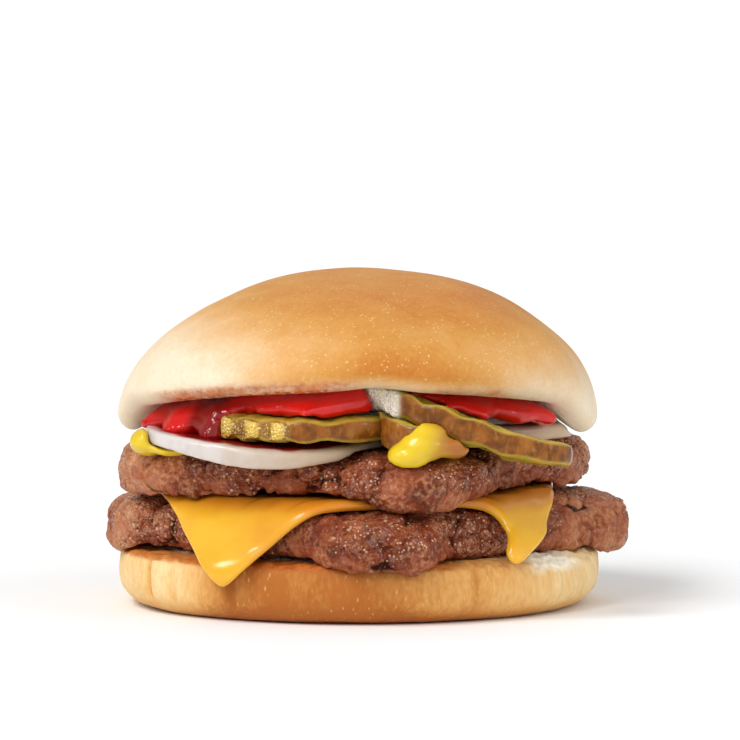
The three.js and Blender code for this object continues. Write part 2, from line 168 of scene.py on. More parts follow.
def layered(points: Array, size: float, octaves: int, seed: int) -> Array:
    """Sums octaves of noise, each half as large and half as strong as the last.

    Args:
        points: One row each.
        size: The size of the broadest features.
        octaves: How many layers there are.
        seed: Which noise to use.

    Returns:
        A number for each point, mostly between -1 and 1.
    """
    total = np.zeros(len(points))
    for i in range(octaves):
        total += noise(points, size / 2**i, seed + 11 * i) / 2**i
    return total


def cells(points: Array, size: float, seed: int) -> tuple[Array, Array, Array]:
    """Finds the scattered seeds round each point.

    Args:
        points: One row each.
        size: Mean distance between seeds.
        seed: Which scatter to use.

    Returns:
        The distances to the two nearest seeds, in units of size, and a random number from 0 to 1
        for the nearest one.
    """
    p = points / size + seed * CELL_SHIFT
    base = np.floor(p).astype(np.int64)
    first = np.full(len(points), 9.0)
    second = np.full(len(points), 9.0)
    number = np.zeros(len(points))
    for dx in (-1, 0, 1):
        for dy in (-1, 0, 1):
            for dz in (-1, 0, 1):
                cell = base + np.array([dx, dy, dz])
                jitter = np.stack([hashed(cell, seed + k) for k in (1, 2, 3)], -1)
                distance = np.linalg.norm(cell + jitter - p, axis=1)
                nearer = distance < first
                second = np.where(nearer, first, np.minimum(second, distance))
                number = np.where(nearer, hashed(cell, seed + 4), number)
                first = np.where(nearer, distance, first)
    return first, second, number


def domed(distance: Array) -> Array:
    """A granule's rounded top, from the distance to its middle."""
    return np.sqrt(np.clip(1.0 - distance**2 / DOME, 0.0, 1.0))


# Meshes


SEAM_METRES = 2e-5  # vertices nearer than this are one
FLATNESS = 0.6  # radians between triangles that may join to a quad
SQUARENESS = 0.9


def rows(items: bpy.types.bpy_prop_collection, key: str) -> Array:
    """Reads one vector of each of a mesh's vertices.

    Args:
        items: The vertices or their normals.
        key: The vector's name.

    Returns:
        A row for each.
    """
    flat = np.empty(3 * len(items), np.float32)
    items.foreach_get(key, flat)
    return flat.reshape(-1, 3).astype(float)


def added(name: str, data: bpy.types.ID) -> bpy.types.Object:
    """Puts a mesh, lamp or camera into the scene.

    Args:
        name: The object's name.
        data: What it shows.

    Returns:
        The object.
    """
    obj = bpy.data.objects.new(name, data)
    bpy.context.scene.collection.objects.link(obj)
    return obj


def move(mesh: Mesh, points: Array) -> None:
    """Puts the mesh's vertices at these places."""
    mesh.vertices.foreach_set("co", (points * MM).astype(np.float32).ravel())
    mesh.update()


def store(mesh: Mesh, **values: Array) -> None:
    """Keeps numbers per vertex, under the names that the finish reads."""
    for name, numbers in values.items():
        layer = mesh.attributes.get(name) or mesh.attributes.new(name, "FLOAT", "POINT")
        layer.data.foreach_set("value", np.ascontiguousarray(numbers, np.float32))


def place(name: str, mesh: Mesh, material: Material) -> bpy.types.Object:
    """Makes a smooth-shaded piece of the burger from a mesh.

    Args:
        name: The piece's name.
        mesh: Its mesh, in place, in metres.
        material: Its finish.

    Returns:
        The new object, riding on the part's one body.
    """
    obj = added(name, mesh)
    mesh.materials.clear()
    mesh.materials.append(material)
    mesh.polygons.foreach_set("use_smooth", np.ones(len(mesh.polygons), bool))
    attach(obj, "root")
    log.info("%s: %d faces", name, len(mesh.polygons))
    return obj


def refined(node: str, levels: int, voxel: float | None, soften: int) -> tuple[Mesh, Array, Array]:
    """Makes a smooth, fine copy of one of the part's solids.

    Args:
        node: The solid's name.
        levels: How often its faces are subdivided.
        voxel: Size of the even faces it is then rebuilt with, or None to leave it.
        soften: How many rounds of smoothing follow.

    Returns:
        A new mesh in metres, its vertices in millimetres and their normals.
    """
    bm = bmesh.new()
    bm.from_mesh(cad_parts[node].data)
    bmesh.ops.remove_doubles(bm, verts=bm.verts, dist=SEAM_METRES)
    bmesh.ops.join_triangles(
        bm, faces=bm.faces, angle_face_threshold=FLATNESS, angle_shape_threshold=SQUARENESS
    )
    mesh = bpy.data.meshes.new(node + "_copy")
    bm.to_mesh(mesh)
    bm.free()
    work = added(node + "_work", mesh)
    rounder = work.modifiers.new("rounder", "SUBSURF")
    rounder.levels = rounder.render_levels = levels
    if voxel:
        even = work.modifiers.new("even", "REMESH")
        even.mode = "VOXEL"
        even.voxel_size = voxel * MM
    softer = work.modifiers.new("softer", "SMOOTH")
    softer.factor = 0.5
    softer.iterations = soften
    graph = bpy.context.evaluated_depsgraph_get()
    fine = bpy.data.meshes.new_from_object(work.evaluated_get(graph))
    bpy.data.objects.remove(work)
    return fine, rows(fine.vertices, "co") / MM, rows(fine.vertex_normals, "vector")


# Finishes


def rgb(code: str) -> tuple[float, float, float, float]:
    """Turns a screen colour into a shader colour.

    Args:
        code: Six hexadecimal digits.

    Returns:
        Linear red, green and blue, and 1.
    """
    channels = [int(code[i : i + 2], 16) / 255.0 for i in (0, 2, 4)]
    linear = [c / 12.92 if c <= 0.04045 else ((c + 0.055) / 1.055) ** 2.4 for c in channels]
    return (linear[0], linear[1], linear[2], 1.0)


class Graph:
    """Builds the node tree of one material."""

    EVENLY: Triple = (1.0, 1.0, 1.0)

    def __init__(self, name: str) -> None:
        """Starts a material with a bare Principled shader.

        Args:
            name: The material's name.
        """
        self.material = bpy.data.materials.new(name)
        self.material.use_nodes = True
        self.tree = self.material.node_tree
        self.shader = self.tree.nodes["Principled BSDF"]
        self.where = self.add("ShaderNodeTexCoord").outputs["Object"]

    def add(self, kind: str, **settings: object) -> bpy.types.Node:
        """Adds a node.

        Args:
            kind: The node's type.
            **settings: Its properties.

        Returns:
            The new node.
        """
        node = self.tree.nodes.new(kind)
        for key, value in settings.items():
            setattr(node, key, value)
        return node

    def feed(self, socket: Socket, value: object) -> None:
        """Links a socket to another one, or sets it to a constant.

        Args:
            socket: The input.
            value: Another node's output, a number, a colour or a screen colour's code.
        """
        if isinstance(value, bpy.types.NodeSocket):
            self.tree.links.new(value, socket)
        else:
            socket.default_value = rgb(value) if isinstance(value, str) else value

    def set(self, **inputs: object) -> None:
        """Feeds inputs of the Principled shader, with underscores for the spaces in their names."""
        for key, value in inputs.items():
            self.feed(self.shader.inputs[key.replace("_", " ")], value)

    def attribute(self, name: str) -> Socket:
        """A number stored on the mesh."""
        return self.add("ShaderNodeAttribute", attribute_name=name).outputs["Fac"]

    def math(self, operation: str, a: object, b: object = 0.0, clamp: bool = False) -> Socket:
        """Does arithmetic on two values.

        Args:
            operation: The math node's operation.
            a: The first value, a socket or a number.
            b: The second one.
            clamp: Whether the result is kept between 0 and 1.

        Returns:
            The result.
        """
        node = self.add("ShaderNodeMath", operation=operation, use_clamp=clamp)
        self.feed(node.inputs[0], a)
        self.feed(node.inputs[1], b)
        return node.outputs[0]

    def times(self, a: object, b: object) -> Socket:
        """Two values multiplied."""
        return self.math("MULTIPLY", a, b)

    def plus(self, a: object, b: object, clamp: bool = False) -> Socket:
        """Two values added."""
        return self.math("ADD", a, b, clamp)

    def swing(self, value: Socket, width: float) -> Socket:
        """A value from 0 to 1 turned into one about 0, from minus to plus half of width."""
        return self.times(self.math("SUBTRACT", value, 0.5), width)

    def scaled(self, size: float, stretch: Triple) -> Socket:
        """Finds places in units of a texture's features.

        Args:
            size: The features' size.
            stretch: How far they are drawn out on each axis.

        Returns:
            The scaled place.
        """
        mapping = self.add("ShaderNodeMapping")
        self.feed(mapping.inputs["Vector"], self.where)
        mapping.inputs["Scale"].default_value = tuple(1.0 / (size * MM * s) for s in stretch)
        return mapping.outputs[0]

    def noise(
        self, size: float, detail: float = 3.0, rough: float = 0.55, stretch: Triple = EVENLY
    ) -> Socket:
        """Makes noise from 0 to 1.

        Args:
            size: The size of its features.
            detail: Its octaves.
            rough: How strong the finer octaves are.
            stretch: How far it is drawn out on each axis.

        Returns:
            The noise.
        """
        node = self.add("ShaderNodeTexNoise")
        self.feed(node.inputs["Vector"], self.scaled(size, stretch))
        node.inputs["Scale"].default_value = 1.0
        node.inputs["Detail"].default_value = detail
        node.inputs["Roughness"].default_value = rough
        return node.outputs["Fac"]

    def scatter(self, size: float, stretch: Triple = EVENLY) -> bpy.types.Node:
        """Scatters seeds.

        Args:
            size: Their mean distance.
            stretch: How far they are drawn apart on each axis.

        Returns:
            The node, with the nearest seed's distance and random colour.
        """
        node = self.add("ShaderNodeTexVoronoi")
        self.feed(node.inputs["Vector"], self.scaled(size, stretch))
        node.inputs["Scale"].default_value = 1.0
        return node

    def grains(self, size: float) -> Socket:
        """Distance to the nearest seed, in units of the seeds' mean distance."""
        return self.scatter(size).outputs["Distance"]

    def beads(self, size: float, radius: float, share: float, stretch: Triple = EVENLY) -> Socket:
        """Puts dots on some of the scattered seeds.

        Args:
            size: The seeds' mean distance.
            radius: The dots' radius, in units of size.
            share: The share of seeds that have one.
            stretch: How far the dots are drawn out on each axis.

        Returns:
            1 in the middle of a dot and 0 outside.
        """
        seeds = self.scatter(size, stretch)
        dots = self.between(seeds.outputs["Distance"], radius, 0.45 * radius)
        chosen = self.between(seeds.outputs["Color"], 1.0 - share - 0.04, 1.0 - share + 0.04)
        return self.times(dots, chosen)

    def between(
        self, value: object, low: float, high: float, to_low: float = 0.0, to_high: float = 1.0
    ) -> Socket:
        """Maps a value smoothly from one range to another.

        Args:
            value: A socket or a number.
            low: The start of its range.
            high: The end of its range.
            to_low: The result at low and before.
            to_high: The result at high and beyond.

        Returns:
            The result.
        """
        node = self.add("ShaderNodeMapRange", interpolation_type="SMOOTHSTEP")
        for index, item in enumerate((value, low, high, to_low, to_high)):
            self.feed(node.inputs[index], item)
        return node.outputs[0]

    def mix(self, share: object, a: object, b: object) -> Socket:
        """Mixes two colours.

        Args:
            share: How much there is of the second one.
            a: The first colour.
            b: The second colour.

        Returns:
            The mixed colour.
        """
        node = self.add("ShaderNodeMix", data_type="RGBA")
        self.feed(node.inputs["Factor"], share)
        self.feed(node.inputs[6], a)
        self.feed(node.inputs[7], b)
        return node.outputs[2]

    def ramp(self, value: Socket, stops: dict[float, str]) -> Socket:
        """Runs a value through screen colours.

        Args:
            value: From 0 to 1.
            stops: The colour at each of some values.

        Returns:
            The colour.
        """
        node = self.add("ShaderNodeValToRGB")
        self.feed(node.inputs[0], value)
        elements = node.color_ramp.elements
        while len(elements) < len(stops):
            elements.new(0.5)
        for element, (at, code) in zip(elements, sorted(stops.items())):
            element.position = at
            element.color = rgb(code)
        return node.outputs[0]

    def bump(
        self, height: Socket, depth: float, strength: float = 1.0, under: Socket | None = None
    ) -> Socket:
        """Makes a bump.

        Args:
            height: From 0 to 1.
            depth: What a height of 1 stands for.
            strength: How far the bump is blended in.
            under: Another bump that this one lies on.

        Returns:
            The bumped normal.
        """
        node = self.add("ShaderNodeBump")
        node.inputs["Strength"].default_value = strength
        node.inputs["Distance"].default_value = depth * MM
        self.feed(node.inputs["Height"], height)
        if under is not None:
            self.feed(node.inputs["Normal"], under)
        return node.outputs[0]


@dataclass(frozen=True)
class Crust:
    """Baked bun crust, browner with the tone attribute, with pale crumb and greasy stains."""

    bake: tuple[str, ...] = ("e9d9bd", "e1be92", "d8a568", "cb9147", "be732b")  # from pale to brown
    crumb: str = "fff6e0"
    stain: str = "cc6c2c"
    grease: str = "a84e1c"
    # light specks: partly the crust's own pale specks and partly painted sparkle of its tiny bumps
    speck: str = "f6dcae"
    roughness: float = 0.5
    upright: float = 1.0  # how far the mottling is drawn out upwards
    contrast: float = 0.3  # of the fine mottling
    mottle_size: float = 6.0
    fine_size: float = 0.9
    pore_size: float = 0.55
    hole_size: float = 1.2  # of the open crumb
    dimple_size: float = 1.8

    def wire(self, g: Graph) -> None:
        """Wires the finish.

        Args:
            g: Its material's graph.
        """
        drawn = (1.0, 1.0, self.upright)
        baked = g.attribute("tone")
        crumb = g.attribute("crumb")
        mottle = g.swing(g.noise(self.mottle_size, 4.0, 0.6, drawn), 0.34)
        fine = g.swing(g.noise(self.fine_size, 4.0, 0.65, drawn), self.contrast)
        tone = g.plus(baked, g.plus(mottle, fine), clamp=True)
        colour = g.ramp(tone, {i / (len(self.bake) - 1): code for i, code in enumerate(self.bake)})
        # Light specks on the baked crust: partly its own pale specks and partly painted sparkle.
        specks = g.beads(self.fine_size, 0.3, 0.6, drawn)
        specks = g.times(specks, g.between(g.noise(3.1, 2.0), 0.4, 0.6, 0.04, 0.45))
        specks = g.times(specks, g.between(baked, 0.15, 0.6))
        colour = g.mix(specks, colour, self.speck)
        blotches = g.between(g.noise(1.8, 4.0, 0.65), 0.25, 0.6, 0.35)
        stained = g.math("MINIMUM", g.times(g.attribute("stain"), blotches), 1.0)
        greasy = g.between(g.noise(1.4, 3.0), 0.42, 0.66)
        colour = g.mix(stained, colour, g.mix(greasy, self.stain, self.grease))
        colour = g.mix(crumb, colour, self.crumb)
        rough = g.plus(g.times(crumb, 0.35), self.roughness, clamp=True)
        rough = g.math("SUBTRACT", rough, g.times(stained, 0.28))
        g.set(Base_Color=colour, Roughness=rough, Specular_IOR_Level=0.14)
        g.set(Subsurface_Weight=0.15, Subsurface_Scale=1.8 * MM, Subsurface_Radius=(1.0, 0.6, 0.35))
        pores = g.bump(g.noise(self.pore_size, 3.0, 0.6, drawn), 0.12, 0.6)
        holes = g.bump(g.times(g.grains(self.hole_size), crumb), 0.35, 0.8, pores)
        g.set(Normal=g.bump(g.noise(self.dimple_size, 5.0, 0.6, drawn), 0.2, 0.5, holes))


@dataclass(frozen=True)
class Beef:
    """Seared ground beef: wet grain on smooth lumps, with dark clefts between them, darkened by painted
    shade.
    """

    sear: tuple[str, ...] = ("4c1a0c", "80371d", "a45c3a", "cd966e")  # from dark to light
    stops: tuple[float, ...] = (0.1, 0.36, 0.6, 0.95)  # where the sear's colours lie
    # painted shade: the dark colour of the clefts and pits
    cleft: str = "381205"
    # partly the tan of seared meat and partly painted highlight on the lumps' tops
    worn: str = "d8a478"
    # light specks, partly bits of fat and partly painted glints of the wet meat
    fat: str = "fcd8b4"
    film: str = "a8661c"
    crumble: float = 1.1  # size of the small change of colour
    patch: float = 6.5  # size of the broad change of colour
    pit: float = 0.85
    small_bead: float = 0.7
    large_bead: float = 1.1

    def wire(self, g: Graph) -> None:
        """Wires the finish.

        Args:
            g: Its material's graph.
        """
        high = g.attribute("height")
        grainy = g.attribute("grainy")
        small = g.noise(self.crumble, 4.0, 0.65)
        tone = g.plus(g.times(g.attribute("cell"), 0.24), g.times(small, 0.55))
        tone = g.plus(tone, g.swing(g.noise(self.patch, 3.0), 0.6))
        tone = g.plus(tone, g.attribute("pale"))
        colour = g.ramp(tone, dict(zip(self.stops, self.sear)))
        # The lumps' high places turn tan: partly seared meat and partly painted highlight.
        worn = g.times(g.between(high, 0.45, 0.9), g.between(small, 0.42, 0.66))
        colour = g.mix(g.times(worn, 0.36), colour, self.worn)
        # Painted shade: the low places between the lumps take the clefts' dark colour.
        colour = g.mix(g.between(high, 0.28, 0.0), colour, self.cleft)
        rugged_part = g.between(grainy, 0.0, 0.8, 0.12, 1.0)
        rugged_part = g.times(g.between(g.noise(2.4, 3.0), 0.4, 0.56), rugged_part)
        # Painted shade in small pits.
        pits = g.times(g.beads(self.pit, 0.5, 0.5), rugged_part)
        colour = g.mix(g.times(pits, 0.6), colour, self.cleft)
        # Light specks: partly bits of fat and partly painted glints of the wet meat.
        beads = g.math("MAXIMUM", g.beads(self.small_bead, 0.46, 0.5), g.beads(self.large_bead, 0.44, 0.25))
        colour = g.mix(g.times(g.times(beads, rugged_part), 0.62), colour, self.fat)
        colour = g.mix(g.attribute("sauce"), colour, self.film)
        g.set(Base_Color=colour, Roughness=g.between(g.noise(1.7, 3.0, 0.6), 0.38, 0.62, 0.34, 0.62))
        g.set(Specular_IOR_Level=0.2, Specular_Tint=(1.0, 0.8, 0.6, 1.0))
        g.set(Subsurface_Weight=0.08, Subsurface_Scale=0.8 * MM, Subsurface_Radius=(1.0, 0.3, 0.2))
        grit = g.bump(g.noise(0.6, 4.0, 0.7), 0.4, 1.0)
        pebbles = g.times(g.grains(0.7), g.plus(g.times(grainy, 0.85), 0.15))
        rugged = g.bump(pebbles, 0.55, 1.0, grit)
        juicy = g.times(g.between(g.noise(1.3, 3.0), 0.44, 0.6), g.between(grainy, 0.0, 1.0, 0.35, 1.0))
        juicy = g.times(juicy, g.between(high, 0.15, 0.5))
        g.set(Normal=rugged, Coat_Normal=rugged, Coat_Weight=juicy)
        g.set(Coat_Roughness=0.1, Coat_IOR=1.8, Coat_Tint=(1.0, 0.86, 0.72, 1.0))


@dataclass(frozen=True)
class Melt:
    """A smooth, wet and slightly see-through food: cheese or sauce, darker where it is tinted."""

    colour: str
    shade: str
    # the tint: painted shadow and shade on the cheese and the ketchup, a thin smear on the mustard
    tint: str
    roughness: float
    scatter: float  # how much light passes through it
    radius: Triple  # how far red, green and blue travel, in units of depth
    depth: float
    ripple: float = 0.06

    def wire(self, g: Graph) -> None:
        """Wires the finish.

        Args:
            g: Its material's graph.
        """
        cloud = g.between(g.noise(9.0, 3.0), 0.35, 0.65)
        colour = g.mix(g.times(cloud, 0.5), self.colour, self.shade)
        # The tint: painted shadow and shade on the cheese and ketchup, a thin smear on the mustard.
        colour = g.mix(g.attribute("tint"), colour, self.tint)
        smooth, dull = 0.7 * self.roughness, 1.3 * self.roughness
        g.set(Base_Color=colour, Specular_IOR_Level=0.45)
        g.set(Roughness=g.between(g.noise(5.0, 2.0), 0.3, 0.7, smooth, dull))
        g.set(Subsurface_Weight=self.scatter, Subsurface_Scale=self.depth * MM)
        g.set(Subsurface_Radius=self.radius, Normal=g.bump(g.noise(4.5, 2.0), self.ripple, 0.6))


@dataclass(frozen=True)
class Onion:
    """Raw onion: white, wet, with fine lines along its rings, darker and browner where tinted."""

    flesh: str = "d2cbc8"
    line: str = "b3a492"
    tint: str = "b0926a"
    smear: str = "a81410"
    thick_smear: str = "5a0806"
    rings: float = 2.4  # radians of the rings' wave to a millimetre

    def wire(self, g: Graph) -> None:
        """Wires the finish.

        Args:
            g: Its material's graph.
        """
        ring = g.between(g.math("SINE", g.times(g.attribute("ring"), self.rings)), 0.1, 0.9)
        vein = g.between(g.noise(4.0, 3.0, 0.5), 0.4, 0.7)
        share = g.plus(g.times(ring, 0.25), g.times(vein, 0.35), clamp=True)
        colour = g.mix(share, self.flesh, self.line)
        colour = g.mix(g.attribute("tint"), colour, self.tint)
        sauce = g.mix(g.noise(2.5, 3.0), self.smear, self.thick_smear)
        colour = g.mix(g.attribute("sauce"), colour, sauce)
        g.set(Base_Color=colour, Roughness=0.22, Specular_IOR_Level=0.4)
        g.set(Subsurface_Weight=0.6, Subsurface_Scale=2.2 * MM, Subsurface_Radius=(1.0, 0.9, 0.75))
        g.set(Normal=g.bump(g.noise(2.5, 3.0), 0.08, 0.5))


@dataclass(frozen=True)
class Pickle:
    """Crinkle-cut pickle: brown skin round the rim, olive faces, and golden or white cut flesh, with
    painted glitter and glare.
    """

    skin: str = "985a18"
    dark: str = "6b3a0c"
    light: str = "ae7e36"
    flesh: str = "b79a34"
    deep_flesh: str = "8f8a2c"
    # a lighter line along the rim: partly paler flesh and partly a painted highlight of its wet edge
    edge: str = "b8923c"
    gold: tuple[str, str] = ("9a7424", "e4c05a")  # between the wet part's lobes, and on them, where the lighter gold is painted glitter
    # near-white dots at the grains: partly seeds and partly painted glints
    seed: str = "fff0b8"
    # pale cut flesh, partly its own colour and partly painted glare
    white: tuple[str, str] = ("e6dfc0", "fffaf2")

    def wire(self, g: Graph) -> None:
        """Wires the finish.

        Args:
            g: Its material's graph.
        """
        wet = g.attribute("wet")
        white = g.attribute("white")
        skin = g.mix(g.between(g.noise(3.4, 4.0, 0.6), 0.36, 0.66), self.dark, self.skin)
        streaks = g.between(g.noise(1.0, 3.0, 0.6, (1.0, 1.0, 2.6)), 0.5, 0.74, 0.0, 0.6)
        skin = g.mix(streaks, skin, self.light)
        flesh = g.mix(g.between(g.noise(2.2, 3.0), 0.35, 0.65), self.flesh, self.deep_flesh)
        colour = g.mix(g.attribute("skin"), flesh, skin)
        # The lighter line along the rim, partly a painted highlight.
        colour = g.mix(g.attribute("rim"), colour, self.edge)
        # The wet flesh: lighter gold on the lobes and near-white dots at the grains, painted glitter over
        # its colour.
        golden = g.mix(g.between(wet, 0.55, 1.0), *self.gold)
        seedy = g.mix(g.between(g.grains(0.62), 0.36, 0.16), golden, self.seed)
        colour = g.mix(wet, colour, seedy)
        # The pale flesh, partly its own colour and partly painted glare.
        colour = g.mix(white, colour, g.mix(g.noise(2.0, 2.0), *self.white))
        g.set(Base_Color=colour, Specular_IOR_Level=0.25)
        g.set(Roughness=g.between(g.noise(2.0, 3.0), 0.35, 0.65, 0.16, 0.4))
        g.set(Subsurface_Weight=0.25, Subsurface_Scale=1.4 * MM, Subsurface_Radius=(1.0, 0.7, 0.2))
        cut = g.plus(wet, white, clamp=True)
        uneven = g.bump(g.noise(1.2, 3.0), 0.1, 0.5)
        grain = g.bump(g.times(g.grains(0.55), cut), 0.5, 1.0, uneven)
        wetness = g.plus(g.times(cut, 0.8), g.between(g.noise(2.6, 3.0), 0.55, 0.75, 0.0, 0.5))
        g.set(Normal=grain, Coat_Normal=grain, Coat_Roughness=0.08)
        g.set(Coat_Weight=g.math("MINIMUM", wetness, 1.0))


class Finish(Enum):
    """The named finishes of the burger's pieces."""

    CROWN = Crust()
    HEEL = Crust(
        bake=("ecd09c", "e3b878", "d6a05c", "c08240", "ac662a"), speck="e8bc78", roughness=0.6,
        upright=2.6, contrast=0.6,
    )
    BEEF = Beef()
    # The third colour is the tint: painted shadow and shade on the cheese and the ketchup, a thin smear on
    # the mustard.
    CHEESE = Melt("e6b22e", "dca022", "cc7c1c", 0.15, 0.5, (1.0, 0.6, 0.08), 2.6)
    ONION = Onion()
    PICKLE = Pickle()
    MUSTARD = Melt("dcbf22", "cfa016", "a8661c", 0.18, 0.4, (1.0, 0.8, 0.1), 1.8)
    KETCHUP = Melt("d2120e", "a80a09", "7a0806", 0.1, 0.25, (1.0, 0.12, 0.06), 1.6, 0.1)

    def material(self) -> Material:
        """Makes the finish's material, once.

        Returns:
            The material.
        """
        name = "burger_" + self.name.lower()
        if name not in bpy.data.materials:
            self.value.wire(Graph(name))
        return bpy.data.materials[name]


# Pieces


SIDE = Fade(0.75, 0.35)  # of a normal's slope, from level faces to upright ones


@dataclass
class Crown:
    """The domed top half of the bun."""

    voxel: float = 0.75
    wave: Pair = (22.0, 0.12)  # size and depth of the broad unevenness
    pucker: Pair = (5.0, 0.22)  # size and depth of the puckers near the rim
    puckered: Fade = Fade(56.0, 42.0)  # height
    golden: Fade = Fade(42.0, 68.0)  # height, from pale to baked
    faded: Fade = Fade(63.0, 69.5)  # height, where the very top is a little paler
    lean: Pair = (-37.0, 12.0)  # x between which the baking comes lower to the right
    peak: Sector = Sector(-86.0, 44.0, 16.0)  # where the lip arches highest and is browner
    crest: Sector = Sector(-86.0, 12.0, 0.0)  # the very top of the arch
    hollow: Fade = Fade(47.5, 42.0)  # radius, where the underside is crumb
    greasy: Fade = Fade(3.0, 0.4)  # height above the lip
    filling: Sector = Sector(-119.0, 31.0, 18.0)  # where ketchup stains the lip
    spill: Sector = Sector(-62.0, 14.0, 7.0)  # the fainter stain at the right
    beneath: Sector = Sector(-119.0, 34.0, 20.0)  # the stain on the underside
    rim: float = 35.0  # height of the lip at the sides
    rises: Triple = (7.4, 4.8, 1.3)  # next to the sides, towards the front and at the crest
    back: float = 3.8  # rise at the back

    def build(self) -> None:
        """Makes the dome: golden on top, pale towards the rim, greasy over the filling."""
        mesh, points, out = refined("bun_crown", 2, self.voxel, 6)
        wide = layered(points, self.wave[0], 3, 5)
        soft = layered(stretched(points, 0.35), self.pucker[0], 2, 9)
        puckers = self.puckered(points[:, 2]) * ease(-0.3, 0.2, out[:, 2])
        points += out * (self.wave[1] * wide + self.pucker[1] * soft * puckers)[:, None]
        move(mesh, points)
        self.bake(mesh, points, out[:, 2], wide)
        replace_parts(place("bun_crown_crust", mesh, Finish.CROWN.material()), "bun_crown")

    def bake(self, mesh: Mesh, points: Array, facing: Array, wide: Array) -> None:
        """Stores how baked, greasy or bare the crust is.

        Args:
            mesh: The dome's mesh.
            points: Its vertices.
            facing: How far each faces up.
            wide: The broad unevenness, which the baking follows.
        """
        height = points[:, 2]
        above = height - self.lip(points)
        baked = height + 1.6 * wide + 0.2 * np.clip(points[:, 0] - AXIS[0], *self.lean)
        tone = 0.95 * self.golden(baked) - 0.12 * self.faded(height)
        brown = 0.6 * self.peak(points) * ease(12.0, 2.0, above) * ease(-0.8, -0.1, facing)
        lip = self.greasy(above + 0.9 * noise(points, 3.5, 8)) * ease(0.5, -0.1, facing)
        front = self.filling(points) + 0.45 * self.spill(points)
        smeared = ease(-0.2, -0.6, facing) * self.beneath(points)
        stain = np.maximum(lip * front * (1.15 + 0.3 * noise(points, 5.0, 3)), 0.8 * smeared)
        crumb = ease(-0.35, -0.75, facing) * self.hollow(radius_of(points))
        store(mesh, tone=tone + brown, stain=stain, crumb=crumb)

    def lip(self, points: Array) -> Array:
        """Works out the height of the crown's lower edge.

        Args:
            points: One row each.

        Returns:
            The edge's height at each point's azimuth.
        """
        side = 90.0 - np.abs(angle_to(points, 0.0) - 90.0)
        low = np.where(points[:, 0] < AXIS[0], 2.0, 8.0)
        rise = ease(0.0, 20.0, side - low)
        arch = np.sin(np.pi / 2 * np.clip((side - 26.0) / 64.0, 0.0, 1.0))
        near, middle, top = self.rises
        front = self.rim + near * rise + middle * arch + top * self.crest(points)
        back = self.rim + self.back * ease(6.0, 32.0, side)
        return np.where(points[:, 1] > AXIS[1], back, front)


